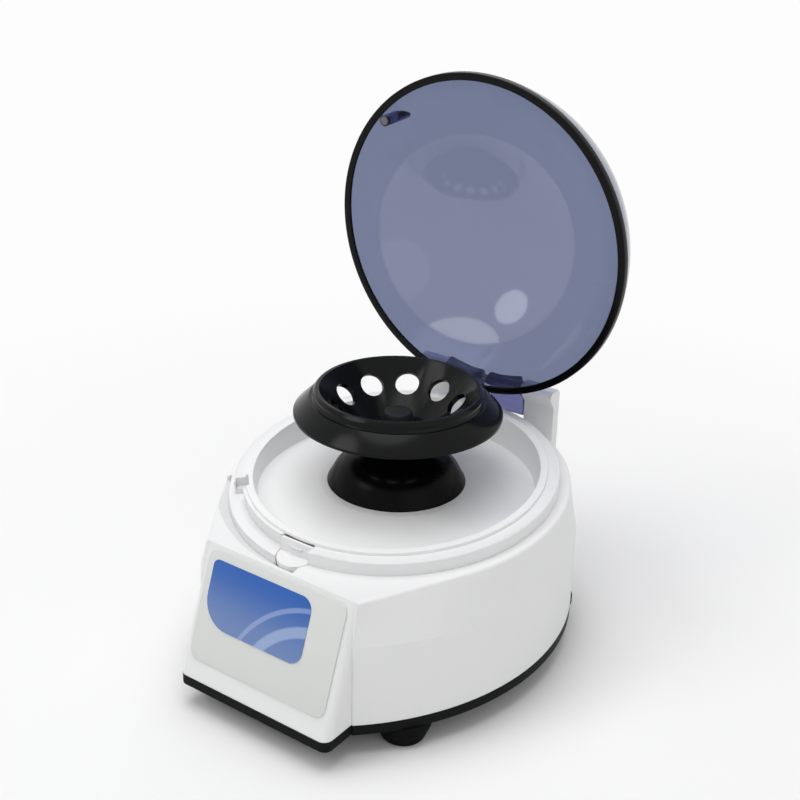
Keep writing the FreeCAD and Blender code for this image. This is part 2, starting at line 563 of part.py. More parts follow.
def motor_carrier():
    plate = rod(S["carrier_radius"], S["carrier_thick"], z=carrier_height)
    plate = plate.cut(rod(S["motor_boss"] + 0.1, 10, z=carrier_height - 1))
    for x, y, _ in posts + motor_holes:
        plate = plate.cut(rod(S["screw_radius"] + 0.1, 10, x, y, carrier_height - 1))
    return plate


feature("motor_carrier", motor_carrier())
grommet = rod(S["grommet_radius"], S["grommet_height"], z=carrier_height - S["grommet_height"])
grommet = grommet.cut(rod(S["screw_radius"] + 0.1, 20, z=carrier_height - 10))
feature("motor_grommets", Part.makeCompound([grommet.translated(Vector(*p)) for p in posts]))


def screw(head_height, length, up=1):
    # Pan head screw whose head starts at head_height and whose shank runs on, up or down
    head = rod(S["screw_head"], 2, z=head_height)
    shank = rod(S["screw_radius"], length, z=head_height + 2 if up > 0 else head_height - length)
    return head.fuse(shank)


def screws(label, solid, places):
    return feature(label, Part.makeCompound([solid.translated(Vector(*p)) for p in places]))


carrier_top = carrier_height + S["carrier_thick"]
screws("carrier_screws", screw(carrier_top, 16, -1), posts)
screws("motor_screws", screw(carrier_top, 4, -1), motor_holes)
shroud_path = [(S["shroud_radius"], S["bowl_hub_height"]),
               ((S["shroud_radius"] - 3.8, S["bowl_hub_height"] + 7),
                (S["shroud_neck"], S["shroud_neck_height"])),
               (S["shroud_neck"] - 6, S["shroud_top"]), (S["spindle_radius"] + 2.5, S["shroud_top"]),
               (S["spindle_radius"] + 2.5, S["shroud_top"] - S["shroud_wall"]),
               (S["shroud_neck"] - 6.5, S["shroud_top"] - S["shroud_wall"]),
               (S["shroud_neck"] - 1.5, S["shroud_neck_height"] - 1.6),
               ((S["shroud_radius"] - 5.9, S["bowl_hub_height"] + 5.6),
                (S["shroud_radius"] - 2.2, S["bowl_hub_height"]))]
feature("motor_shroud", lathe(shroud_path))


# Base plate: black tray that closes the housing, with posts, standoffs and screw seats
def base_plate():
    low = S["foot_height"]
    plate = Part.Face(outline(0, low)).extrude(Vector(0, 0, S["plate_thickness"]))
    lean = S["console_foot"]
    front = box(-S["console_half"], S["console_half"], -lean, -30, low, PLATE_TOP)
    corners = [e for e in front.Edges if e.BoundBox.ZLength > 1 and e.BoundBox.YMax < -lean + 1]
    plate = plate.fuse(front.makeFillet(S["console_round"], corners))
    inset = S["housing_wall"] + S["fit_gap"]
    lip = Part.Face(outline(inset, PLATE_TOP)).extrude(Vector(0, 0, 3))
    lip = lip.cut(Part.Face(outline(inset + 1.6, PLATE_TOP - 1)).extrude(Vector(0, 0, 6)))
    lip = lip.cut(box(-S["console_half"], S["console_half"], -120, -40, 0, 40))
    for x, y, _ in housing_bosses:
        lip = lip.cut(rod(5, 4, x, y, PLATE_TOP))
    plate = plate.fuse(lip).removeSplitter()
    for x, y, _ in posts:
        top = carrier_height - S["grommet_height"]
        plate = plate.fuse(rod(S["post_radius"], top - PLATE_TOP, x, y, PLATE_TOP))
        plate = plate.cut(rod(S["screw_radius"], 12, x, y, top - 11))
    for x, y, _ in board_holes:
        plate = plate.fuse(rod(S["standoff_radius"], S["standoff_height"], x, y, PLATE_TOP))
        plate = plate.cut(rod(1.2, 6, x, y, PLATE_TOP + S["standoff_height"] - 6))
    for x, y, _ in feet:
        plate = plate.fuse(rod(5, 4, x, y, PLATE_TOP)).cut(rod(S["screw_radius"], 8, x, y, low - 1))
    for x, y, _ in housing_bosses:
        plate = plate.cut(rod(S["screw_radius"] + 0.2, 10, x, y, low - 1))
        plate = plate.cut(rod(S["screw_head"] + 0.3, 3.2, x, y, low - 1))
    return plate


board_y = -S["board_front"] + S["board_depth"] / 2
board_holes = corners_of(S["board_width"] / 2 - 4, S["board_depth"] / 2 - 4, 0, board_y)
feet = corners_of(S["foot_side"], S["foot_front"])
housing_bosses = corners_of(S["boss_side"], S["boss_front"])
feature("base_plate", base_plate())
screws("housing_screws", screw(S["foot_height"] + 0.1, 22), housing_bosses)
foot = turned("foot_blank", [
    ("sizes.screw_radius + 0.1", "5"), ("sizes.screw_head + 0.3", "5"), ("sizes.screw_head + 0.3", "0"),
    ("sizes.foot_tip_radius - 1", "0"), ("sizes.foot_tip_radius", "1"),
    ("sizes.foot_radius", "sizes.foot_height - 4"), ("sizes.foot_radius", "sizes.foot_height"),
    ("sizes.screw_radius + 0.1", "sizes.foot_height")])
copies("rubber_feet", foot, feet)
screws("foot_screws", screw(3, 11), feet)

# Control board on its standoffs, with the parts on it
board_low = PLATE_TOP + S["standoff_height"]
board = box(-S["board_width"] / 2, S["board_width"] / 2, -S["board_front"],
            -S["board_front"] + S["board_depth"], board_low, board_low + S["board_thick"])
for x, y, _ in board_holes:
    board = board.cut(rod(1.4, 10, x, y, board_low - 4))
feature("control_board", board)
board_top = board_low + S["board_thick"]
small_screw = rod(2.4, 1.6, z=board_top).fuse(rod(1.2, 6, z=board_top - 6))
screws("board_screws", small_screw, board_holes)
capacitors = [rod(4, 11, x, board_y + 6, board_top) for x in (-16, -6)]
feature("capacitors", Part.makeCompound(capacitors))
feature("speed_relay", box(6, 22, board_y - 2, board_y + 10, board_top, board_top + 12))
feature("board_plug", box(-14, 6, board_y - 14, board_y - 8, board_top, board_top + 7))

# Power inlet and rocker switch in the back wall
rear = S["back_centre"] + S["side_radius"] - math.hypot(S["side_offset"], S["back_centre"])
port = S["port_height"]
side = S["inlet_side"]
inlet = box(side - 7, side + 7, rear - 28, rear - 16, port - 6, port + 6)
inlet = inlet.fuse(rod(4.9, 15, side, rear - 18, port, (0, 1, 0)))
inlet = inlet.cut(rod(2.8, 11, side, rear - 14, port, (0, 1, 0)))
feature("power_inlet", inlet.fuse(rod(1.0, 10, side, rear - 14, port, (0, 1, 0))))
switch = box(-8, 8, rear - 1, rear + 1, port - 11.5, port + 11.5)
switch = switch.fuse(box(-7, 7, rear - 15, rear - 1, port - 10.5, port + 10.5))
switch = switch.cut(box(-6, 6, rear - 7, rear + 2, port - 9.7, port + 9.7))
feature("switch_body", switch.cut(rod(1.25, 13.4, -6.7, rear - 1.5, port, (1, 0, 0))))
rocker_points = [(-5.7, -3, -3), (-5.7, -3, 3), (-5.7, 0.2, 8.8), (-5.7, 2.6, 8.8), (-5.7, 1.6, 0),
                 (-5.7, 2.6, -8.8), (-5.7, 0.2, -8.8)]
rocker = polygon(rocker_points).extrude(Vector(11.4, 0, 0)).fuse(rod(1.2, 13.2, -6.6, 0, 0, (1, 0, 0)))
axle = Placement(Vector(0, rear - 1.5, port), Rotation(Vector(1, 0, 0), -8))
feature("switch_rocker", rocker, axle)

# Front panel overlay on the console's sloped face, with its coloured window
foot_point = Vector(0, -S["console_foot"], PLATE_TOP)
brow_point = Vector(0, -S["console_brow"], shoulder_at(-S["console_brow"]))
rise = brow_point - foot_point
PANEL = Placement(foot_point, Rotation(Vector(1, 0, 0), math.degrees(math.atan2(rise.z, rise.y))))


def rounded_plate(left, right, low, high, thick, radius, lift=0):
    plate = box(left, right, low, high, lift, lift + thick)
    return plate.makeFillet(radius, [e for e in plate.Edges if e.BoundBox.ZLength > thick / 2])


panel = rounded_plate(-S["panel_half"], S["panel_half"], S["panel_low"], S["panel_high"], S["panel_thick"],
                      S["panel_round"])
feature("front_panel", panel, PANEL)
patch = rounded_plate(-S["patch_half"] - S["patch_shift"], S["patch_half"] - S["patch_shift"], S["patch_low"],
                      S["patch_low"] + S["patch_height"], 0.4, 5, S["panel_thick"])
feature("panel_window", patch, PANEL)

doc.recompute()
for item in doc.Objects:
    if "Invalid" in item.State or "Error" in item.State:
        raise RuntimeError("failed: " + item.Label)
triangles = 0
os.makedirs("parts", exist_ok=True)
for item in parts:
    if item.Shape.isNull() or not item.Shape.isValid():
        raise RuntimeError("bad shape: " + item.Label)
    item.Shape.exportStep("parts/%s.step" % item.Label)
    count = len(item.Shape.tessellate(0.2)[1])
    triangles += count
    print("%-16s %d solids %9.0f mm3 %5d triangles" % (
        item.Label, len(item.Shape.Solids), item.Shape.Volume, count))
print("nodes", len(parts), "triangles", triangles)
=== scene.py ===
import bpy
import math
from mathutils import Matrix, Vector


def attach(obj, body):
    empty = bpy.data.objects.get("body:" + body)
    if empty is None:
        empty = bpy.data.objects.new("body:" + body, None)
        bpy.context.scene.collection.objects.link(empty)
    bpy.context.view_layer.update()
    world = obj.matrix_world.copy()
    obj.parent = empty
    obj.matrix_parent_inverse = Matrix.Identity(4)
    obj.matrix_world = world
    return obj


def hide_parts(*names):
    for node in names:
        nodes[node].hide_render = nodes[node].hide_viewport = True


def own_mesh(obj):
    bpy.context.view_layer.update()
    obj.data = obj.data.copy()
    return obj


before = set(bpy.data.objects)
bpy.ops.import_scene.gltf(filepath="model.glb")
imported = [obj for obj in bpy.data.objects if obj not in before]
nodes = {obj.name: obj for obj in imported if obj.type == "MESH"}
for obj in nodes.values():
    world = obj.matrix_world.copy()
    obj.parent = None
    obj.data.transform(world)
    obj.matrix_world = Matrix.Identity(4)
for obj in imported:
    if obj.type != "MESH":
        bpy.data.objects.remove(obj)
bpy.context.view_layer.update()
bpy.ops.object.select_all(action="DESELECT")
print("Frame loaded:", len(nodes), "nodes")


# Shader groups

def newGroup(name, inputs, outputs):
    group = bpy.data.node_groups.new(name, "ShaderNodeTree")
    for label, kind, value in inputs:
        socket = group.interface.new_socket(name=label, in_out="INPUT", socket_type=kind)
        socket.default_value = value
    for label, kind in outputs:
        group.interface.new_socket(name=label, in_out="OUTPUT", socket_type=kind)
    return group, group.nodes.new("NodeGroupInput"), group.nodes.new("NodeGroupOutput")


def noiseNode(tree, scale, detail, roughness=0.5):
    noise = tree.nodes.new("ShaderNodeTexNoise")
    noise.inputs["Scale"].default_value = scale
    noise.inputs["Detail"].default_value = detail
    noise.inputs["Roughness"].default_value = roughness
    return noise


def mapRange(tree, low, high, fromLow=0.0, fromHigh=1.0):
    node = tree.nodes.new("ShaderNodeMapRange")
    node.inputs["From Min"].default_value = fromLow
    node.inputs["From Max"].default_value = fromHigh
    node.inputs["To Min"].default_value = low
    node.inputs["To Max"].default_value = high
    return node


# A colour mix: first colour, second colour and the share of the second
def mixColour(tree, first, second, share):
    node = tree.nodes.new("ShaderNodeMix")
    node.data_type = "RGBA"
    tree.links.new(share, node.inputs[0])
    for socket, colour in ((node.inputs[6], first), (node.inputs[7], second)):
        if isinstance(colour, tuple):
            socket.default_value = (*colour, 1)
        else:
            tree.links.new(colour, socket)
    return node.outputs[2]


# Moulded plastic: faint cloudiness in the colour, fine grain in the gloss and the surface
def moulding():
    group, given, result = newGroup("mouldedPlastic", [
        ("Colour", "NodeSocketColor", (0.8, 0.8, 0.8, 1)), ("Clouding", "NodeSocketFloat", 0.03),
        ("Gloss Low", "NodeSocketFloat", 0.3), ("Gloss High", "NodeSocketFloat", 0.4),
        ("Grain Scale", "NodeSocketFloat", 2500.0), ("Grain Depth", "NodeSocketFloat", 0.1)],
        [("Colour", "NodeSocketColor"), ("Roughness", "NodeSocketFloat"), ("Height", "NodeSocketFloat")])
    place = group.nodes.new("ShaderNodeTexCoord")
    cloud = noiseNode(group, 18, 3)
    group.links.new(place.outputs["Object"], cloud.inputs["Vector"])
    spread = mapRange(group, -1, 1)
    group.links.new(cloud.outputs["Fac"], spread.inputs["Value"])
    amount = group.nodes.new("ShaderNodeMath")
    amount.operation = "MULTIPLY"
    group.links.new(spread.outputs["Result"], amount.inputs[0])
    group.links.new(given.outputs["Clouding"], amount.inputs[1])
    factor = group.nodes.new("ShaderNodeMath")
    factor.inputs[1].default_value = 1
    group.links.new(amount.outputs[0], factor.inputs[0])
    shade = group.nodes.new("ShaderNodeVectorMath")
    shade.operation = "SCALE"
    group.links.new(given.outputs["Colour"], shade.inputs[0])
    group.links.new(factor.outputs[0], shade.inputs["Scale"])
    group.links.new(shade.outputs[0], result.inputs["Colour"])
    smear = noiseNode(group, 60, 4, 0.6)
    group.links.new(place.outputs["Object"], smear.inputs["Vector"])
    gloss = mapRange(group, 0.3, 0.4)
    group.links.new(smear.outputs["Fac"], gloss.inputs["Value"])
    group.links.new(given.outputs["Gloss Low"], gloss.inputs["To Min"])
    group.links.new(given.outputs["Gloss High"], gloss.inputs["To Max"])
    group.links.new(gloss.outputs["Result"], result.inputs["Roughness"])
    grain = noiseNode(group, 2500, 2)
    group.links.new(place.outputs["Object"], grain.inputs["Vector"])
    group.links.new(given.outputs["Grain Scale"], grain.inputs["Scale"])
    depth = group.nodes.new("ShaderNodeMath")
    depth.operation = "MULTIPLY"
    group.links.new(grain.outputs["Fac"], depth.inputs[0])
    group.links.new(given.outputs["Grain Depth"], depth.inputs[1])
    group.links.new(depth.outputs[0], result.inputs["Height"])
    return group


# Metal: streaks drawn along one axis, in colour, gloss and height
def drawnMetal():
    group, given, result = newGroup("drawnMetal", [
        ("Colour", "NodeSocketColor", (0.6, 0.6, 0.6, 1)), ("Stretch", "NodeSocketVector", (1, 1, 1)),
        ("Streak", "NodeSocketFloat", 0.15), ("Gloss Low", "NodeSocketFloat", 0.25),
        ("Gloss High", "NodeSocketFloat", 0.45)],
        [("Colour", "NodeSocketColor"), ("Roughness", "NodeSocketFloat"), ("Height", "NodeSocketFloat")])
    place = group.nodes.new("ShaderNodeTexCoord")
    stretch = group.nodes.new("ShaderNodeVectorMath")
    stretch.operation = "MULTIPLY"
    group.links.new(place.outputs["Object"], stretch.inputs[0])
    group.links.new(given.outputs["Stretch"], stretch.inputs[1])
    streak = noiseNode(group, 40, 6, 0.65)
    group.links.new(stretch.outputs[0], streak.inputs["Vector"])
    spread = mapRange(group, -1, 1)
    group.links.new(streak.outputs["Fac"], spread.inputs["Value"])
    amount = group.nodes.new("ShaderNodeMath")
    amount.operation = "MULTIPLY_ADD"
    amount.inputs[2].default_value = 1
    group.links.new(spread.outputs["Result"], amount.inputs[0])
    group.links.new(given.outputs["Streak"], amount.inputs[1])
    shade = group.nodes.new("ShaderNodeVectorMath")
    shade.operation = "SCALE"
    group.links.new(given.outputs["Colour"], shade.inputs[0])
    group.links.new(amount.outputs[0], shade.inputs["Scale"])
    group.links.new(shade.outputs[0], result.inputs["Colour"])
    gloss = mapRange(group, 0.25, 0.45)
    group.links.new(streak.outputs["Fac"], gloss.inputs["Value"])
    group.links.new(given.outputs["Gloss Low"], gloss.inputs["To Min"])
    group.links.new(given.outputs["Gloss High"], gloss.inputs["To Max"])
    group.links.new(gloss.outputs["Result"], result.inputs["Roughness"])
    group.links.new(streak.outputs["Fac"], result.inputs["Height"])
    return group


shaderGroups = {"moulding": moulding(), "metal": drawnMetal()}


def groupMaterial(name, groupName, values, bump, rounding=0, metallic=0.0, extra=()):
    material = bpy.data.materials.new(name)
    material.use_nodes = True
    tree = material.node_tree
    surface = tree.nodes["Principled BSDF"]
    pattern = tree.nodes.new("ShaderNodeGroup")
    pattern.node_tree = shaderGroups[groupName]
    for label, value in values.items():
        pattern.inputs[label].default_value = value
    tree.links.new(pattern.outputs["Colour"], surface.inputs["Base Color"])
    tree.links.new(pattern.outputs["Roughness"], surface.inputs["Roughness"])
    relief = tree.nodes.new("ShaderNodeBump")
    relief.inputs["Strength"].default_value = bump
    relief.inputs["Distance"].default_value = 0.0002
    tree.links.new(pattern.outputs["Height"], relief.inputs["Height"])
    tree.links.new(relief.outputs["Normal"], surface.inputs["Normal"])
    if rounding:
        soft = tree.nodes.new("ShaderNodeBevel")
        soft.samples = 6
        soft.inputs["Radius"].default_value = rounding
        tree.links.new(soft.outputs["Normal"], relief.inputs["Normal"])
    surface.inputs["Metallic"].default_value = metallic
    for label, value in extra:
        surface.inputs[label].default_value = value
    return material


def plastic(name, colour, gloss=(0.3, 0.4), clouding=0.02, grain=(2500, 0.5), bump=0.1, rounding=0, extra=()):
    values = {"Colour": (*colour, 1), "Clouding": clouding, "Gloss Low": gloss[0], "Gloss High": gloss[1],
              "Grain Scale": grain[0], "Grain Depth": grain[1]}
    return groupMaterial(name, "moulding", values, bump, rounding, extra=extra)


def metal(name, colour, gloss=(0.2, 0.35), stretch=(1, 1, 12), streak=0.12, bump=0.05, rounding=0):
    values = {"Colour": (*colour, 1), "Stretch": stretch, "Streak": streak, "Gloss Low": gloss[0],
              "Gloss High": gloss[1]}
    return groupMaterial(name, "metal", values, bump, rounding, metallic=1.0)


dimGloss = [("Specular IOR Level", 0.13)]
faintGloss = [("Specular IOR Level", 0.06)]
materials = {
    "whiteShell": plastic("whiteShell", (0.83, 0.832, 0.838), (0.34, 0.46), 0.008, (1500, 0.5), 0.05, 0.0008),
    # whiteBowl: white plastic, partly painted light: set lighter than the shell's white to offset the shade the
    # rotor casts on the bowl floor
    "whiteBowl": plastic("whiteBowl", (0.9, 0.902, 0.905), (0.3, 0.38), 0.004, (1200, 0.3), 0.02, 0.0005),
    "whiteInner": plastic("whiteInner", (0.72, 0.725, 0.73), (0.4, 0.5), 0.03, (1500, 0.8), 0.15, 0.0003),
    "blackGloss": plastic("blackGloss", (0.003, 0.0034, 0.0036), (0.14, 0.22), 0.15, (1400, 0.4), 0.05,
                          extra=dimGloss),
    "blackBand": plastic("blackBand", (0.002, 0.002, 0.003), (0.2, 0.3), 0.2, (1600, 0.4), 0.05, 0.0003,
                         dimGloss),
    "blackBase": plastic("blackBase", (0.006, 0.007, 0.0066), (0.42, 0.58), 0.2, (1300, 1.0), 0.3, 0.0005,
                         faintGloss),
    "blackCone": plastic("blackCone", (0.002, 0.002, 0.002), (0.2, 0.32), 0.15, (1400, 0.4), 0.05,
                         extra=faintGloss),
    "blackInner": plastic("blackInner", (0.012, 0.012, 0.013), (0.4, 0.55), 0.2, (1300, 0.8), 0.25, 0.0003,
                          dimGloss),
    "rubber": plastic("rubber", (0.004, 0.0042, 0.0042), (0.6, 0.8), 0.3, (900, 1.0), 0.4, 0.0004, faintGloss),
    "panelFilm": plastic("panelFilm", (0.70, 0.715, 0.70), (0.3, 0.4), 0.01, (1500, 0.4), 0.04, 0.0002),
    "boardGreen": plastic("boardGreen", (0.012, 0.10, 0.035), (0.2, 0.32), 0.2, (700, 0.6), 0.1),
    "cream": plastic("cream", (0.72, 0.68, 0.56), (0.35, 0.45), 0.04, (1500, 0.6), 0.1, 0.0003),
    "sleeve": plastic("sleeve", (0.012, 0.02, 0.075), (0.2, 0.3), 0.1, (1200, 0.4), 0.08, 0.0003),
    "steel": metal("steel", (0.55, 0.55, 0.56), rounding=0.0002),
    "groundSteel": metal("groundSteel", (0.6, 0.6, 0.61), (0.12, 0.22), (1, 1, 30), 0.08),
    "zinc": metal("zinc", (0.46, 0.47, 0.48), (0.25, 0.42), (1, 1, 6), 0.14, rounding=0.0004),
    "sheet": metal("sheet", (0.62, 0.63, 0.64), (0.3, 0.42), (14, 1, 1), 0.1, rounding=0.0003),
    "markWhite": plastic("markWhite", (0.7, 0.7, 0.7), (0.35, 0.45), 0.02, (1500, 0.5), 0.05),
    "magnet": metal("magnet", (0.16, 0.16, 0.165), (0.3, 0.45), (1, 1, 1), 0.1, rounding=0.0003),
}

nodeFinish = {
    "upper_housing": "whiteShell", "chamber_bowl": "whiteBowl", "latch_button": "whiteShell",
    "latch_guide": "whiteInner", "latch_spring": "steel", "lid_trim": "blackBand", "lid_magnet": "magnet",
    "lid_sensor": "blackInner", "hinge_pin": "groundSteel", "rotor": "blackGloss", "rotor_nut": "blackGloss",
    "spindle": "groundSteel", "motor_can": "zinc", "motor_end_cap": "blackInner", "motor_carrier": "sheet",
    "motor_grommets": "rubber", "carrier_screws": "steel", "motor_screws": "steel",
    "motor_shroud": "blackCone", "base_plate": "blackBase", "housing_screws": "steel",
    "rubber_feet": "rubber", "foot_screws": "steel", "control_board": "boardGreen", "board_screws": "steel",
    "capacitors": "sleeve", "speed_relay": "blackInner", "board_plug": "cream", "power_inlet": "blackInner",
    "switch_body": "blackInner", "switch_rocker": "blackGloss", "front_panel": "panelFilm",
    "panel_window": "panelFilm",
}


def dress(item, material):
    item.data.materials.clear()
    item.data.materials.append(material)


for nodeName, finish in nodeFinish.items():
    dress(nodes[nodeName], materials[finish])
print("Materials made:", len(materials))


# Clear tinted plastic of the lid
def tintedClear(name, colour, shade):
    material = bpy.data.materials.new(name)
    material.use_nodes = True
    tree = material.node_tree
    surface = tree.nodes["Principled BSDF"]
    pattern = tree.nodes.new("ShaderNodeGroup")
    pattern.node_tree = shaderGroups["moulding"]
    for label, value in {"Colour": (*colour, 1), "Clouding": 0.03, "Gloss Low": 0.06,
                         "Gloss High": 0.1, "Grain Scale": 90, "Grain Depth": 0.3}.items():
        pattern.inputs[label].default_value = value
    tree.links.new(pattern.outputs["Colour"], surface.inputs["Base Color"])
    tree.links.new(pattern.outputs["Roughness"], surface.inputs["Roughness"])
    relief = tree.nodes.new("ShaderNodeBump")
    relief.inputs["Strength"].default_value = 0.01
    relief.inputs["Distance"].default_value = 0.0002
    tree.links.new(pattern.outputs["Height"], relief.inputs["Height"])
    tree.links.new(relief.outputs["Normal"], surface.inputs["Normal"])
    surface.inputs["Transmission Weight"].default_value = 1.0
    surface.inputs["IOR"].default_value = 1.46
    path = tree.nodes.new("ShaderNodeLightPath")
    through = tree.nodes.new("ShaderNodeBsdfTransparent")
    through.inputs["Color"].default_value = (*shade, 1)
    blend = tree.nodes.new("ShaderNodeMixShader")
    tree.links.new(path.outputs["Is Shadow Ray"], blend.inputs["Fac"])
    tree.links.new(surface.outputs["BSDF"], blend.inputs[1])
    tree.links.new(through.outputs["BSDF"], blend.inputs[2])
    tree.links.new(blend.outputs["Shader"], tree.nodes["Material Output"].inputs["Surface"])
    return material


materials["tintedClear"] = tintedClear("tintedClear", (0.19, 0.215, 0.33), (0.62, 0.63, 0.7))
materials["tintedDeep"] = tintedClear("tintedDeep", (0.13, 0.135, 0.30), (0.4, 0.4, 0.55))
dress(nodes["lid_dome"], materials["tintedClear"])


# Modelling helpers

def editNew():
    bpy.ops.object.mode_set(mode="EDIT")
    bpy.ops.mesh.select_all(action="SELECT")


def finishPiece(piece, name, material, body, replaced=(), angle=35):
    piece.name = name
    piece.data.name = name
    bpy.ops.object.select_all(action="DESELECT")
    piece.select_set(True)
    bpy.context.view_layer.objects.active = piece
    bpy.ops.object.transform_apply(location=True, rotation=True, scale=True)
    bpy.ops.object.mode_set(mode="EDIT")
    bpy.ops.mesh.select_all(action="SELECT")
    bpy.ops.mesh.remove_doubles(threshold=0.000002)
    bpy.ops.mesh.normals_make_consistent(inside=False)
    bpy.ops.object.mode_set(mode="OBJECT")
    bpy.ops.object.shade_smooth_by_angle(angle=math.radians(angle))
    dress(piece, material)
    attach(piece, body)
    if replaced:
        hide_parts(*replaced)
    bpy.ops.object.select_all(action="DESELECT")
    return piece


def addModifier(piece, kind, **values):
    modifier = piece.modifiers.new(kind.title(), kind)
    for label, value in values.items():
        setattr(modifier, label, value)
    bpy.context.view_layer.objects.active = piece
    bpy.ops.object.modifier_apply(modifier=modifier.name)


# A round piece grown ring by ring from a circle; the profile closes back on its first ring
def ringStack(profile, segments=128, closed=True):
    radius, height = profile[0]
    bpy.ops.mesh.primitive_circle_add(vertices=segments, radius=radius, location=(0, 0, 0))
    piece = bpy.context.object
    editNew()
    bpy.ops.transform.translate(value=(0, 0, height))
    for nextRadius, nextHeight in profile[1:]:
        bpy.ops.mesh.extrude_edges_move(TRANSFORM_OT_translate={"value": (0, 0, nextHeight - height)})
        scale = nextRadius / radius
        bpy.ops.transform.resize(value=(scale, scale, 1), center_override=(0, 0, nextHeight))
        radius, height = nextRadius, nextHeight
    if closed:
        bpy.ops.mesh.extrude_edges_move(TRANSFORM_OT_translate={"value": (0, 0, profile[0][1] - height)})
        scale = profile[0][0] / radius
        bpy.ops.transform.resize(value=(scale, scale, 1), center_override=(0, 0, profile[0][1]))
    bpy.ops.mesh.select_all(action="SELECT")
    bpy.ops.mesh.remove_doubles(threshold=0.000002)
    bpy.ops.mesh.normals_make_consistent(inside=False)
    bpy.ops.object.mode_set(mode="OBJECT")
    return piece


def joinCut(piece, tool, operation):
    modifier = piece.modifiers.new("Shape", "BOOLEAN")
    modifier.operation = operation
    modifier.object = tool
    modifier.solver = "EXACT"
    bpy.context.view_layer.objects.active = piece
    bpy.ops.object.modifier_apply(modifier=modifier.name)
    bpy.data.objects.remove(tool)


def roundEdges(piece, width, segments=3, angle=30):
    addModifier(piece, "BEVEL", width=width, segments=segments, limit_method="ANGLE",
                angle_limit=math.radians(angle), use_clamp_overlap=True)


# A solid round piece: the ring stack with both ends closed
def solidStack(profile, segments=64):
    piece = ringStack(profile, segments, False)
    editNew()
    bpy.ops.mesh.fill_holes(sides=0)
    bpy.ops.mesh.normals_make_consistent(inside=False)
    bpy.ops.object.mode_set(mode="OBJECT")
    return piece


def millimetres(profile):
    return [(radius / 1000, height / 1000) for radius, height in profile]


def block(x0, x1, y0, y1, z0, z1):
    bpy.ops.mesh.primitive_cube_add(size=1, location=((x0 + x1) / 2, (y0 + y1) / 2, (z0 + z1) / 2))
    piece = bpy.context.object
    piece.scale = (x1 - x0, y1 - y0, z1 - z0)
    bpy.ops.object.transform_apply(location=True, scale=True)
    return piece


# Round one upright edge of a plate, found by the corner it stands on
def roundCorner(piece, corner, radius):
    editNew()
    bpy.ops.mesh.select_mode(type="EDGE")
    bpy.ops.mesh.select_all(action="DESELECT")
    bpy.ops.object.mode_set(mode="OBJECT")
    for edge in piece.data.edges:
        ends = [piece.data.vertices[index].co for index in edge.vertices]
        edge.select = all(math.dist(end.xy, corner) < 0.00001 for end in ends)
    bpy.ops.object.mode_set(mode="EDIT")
    bpy.ops.mesh.bevel(offset=radius, segments=10, affect="EDGES")
    bpy.ops.mesh.select_mode(type="VERT")
    bpy.ops.object.mode_set(mode="OBJECT")


def copyOf(piece, place):
    twin = piece.copy()
    twin.data = piece.data.copy()
    bpy.context.collection.objects.link(twin)
    twin.matrix_world = place
    return twin


# One modelled piece set in several places, each with its own mesh
def repeated(piece, places, name, material, body, slot):
    for number, place in enumerate(places):
        twin = copyOf(piece, place)
        finishPiece(twin, name + str(number + 1), material, body, [slot] if number == 0 else ())
    bpy.data.objects.remove(piece)


# Camera, floor and lights
camera = {"place": (0.328863, -0.462267, 0.381778), "right": (0.809414, 0.586800, 0.022683),
          "up": (-0.259139, 0.322252, 0.910495), "back": (0.526969, -0.742845, 0.412898), "lens": 61.4375}
bpy.ops.object.camera_add(location=camera["place"])
view = bpy.context.object
view.rotation_euler = Matrix((camera["right"], camera["up"], camera["back"])).transposed().to_euler()
view.data.lens = camera["lens"]
view.data.clip_start = 0.01
bpy.context.scene.camera = view

floorSize = 12
bpy.ops.mesh.primitive_plane_add(size=floorSize, location=(0, 0, 0))
floor = bpy.context.object
floor.name = "floor"


# Pale floor that keeps the shadow near the object and fades to plain white away from it
def floorFinish():
    material = bpy.data.materials.new("paleFloor")
    material.use_nodes = True
    tree = material.node_tree
    surface = tree.nodes["Principled BSDF"]
    surface.inputs["Base Color"].default_value = (0.9, 0.9, 0.9, 1)
    surface.inputs["Roughness"].default_value = 0.9
    surface.inputs["Specular IOR Level"].default_value = 0.1
    place = tree.nodes.new("ShaderNodeTexCoord")
    reach = tree.nodes.new("ShaderNodeVectorMath")
    reach.operation = "LENGTH"
    tree.links.new(place.outputs["Object"], reach.inputs[0])
    fade = mapRange(tree, 0.0, 1.0, 0.14, 0.55)
    fade.interpolation_type = "SMOOTHSTEP"
    tree.links.new(reach.outputs["Value"], fade.inputs["Value"])
    amount = tree.nodes.new("ShaderNodeMath")
    amount.operation = "MULTIPLY"
    tree.links.new(fade.outputs["Result"], amount.inputs[0])
    tree.links.new(backgroundRays(tree), amount.inputs[1])
    white = tree.nodes.new("ShaderNodeEmission")
    white.inputs["Color"].default_value = (0.98, 0.98, 0.98, 1)
    blend = tree.nodes.new("ShaderNodeMixShader")
    tree.links.new(amount.outputs[0], blend.inputs["Fac"])
    tree.links.new(surface.outputs["BSDF"], blend.inputs[1])
    tree.links.new(white.outputs["Emission"], blend.inputs[2])
    tree.links.new(blend.outputs["Shader"], tree.nodes["Material Output"].inputs["Surface"])
    return material


def backgroundRays(tree):
    path = tree.nodes.new("ShaderNodeLightPath")
    total = path.outputs["Is Camera Ray"]
    for label in ("Is Glossy Ray", "Is Transmission Ray"):
        either = tree.nodes.new("ShaderNodeMath")
        either.operation = "MAXIMUM"
        tree.links.new(total, either.inputs[0])
        tree.links.new(path.outputs[label], either.inputs[1])
        total = either.outputs[0]
    return total


dress(floor, floorFinish())

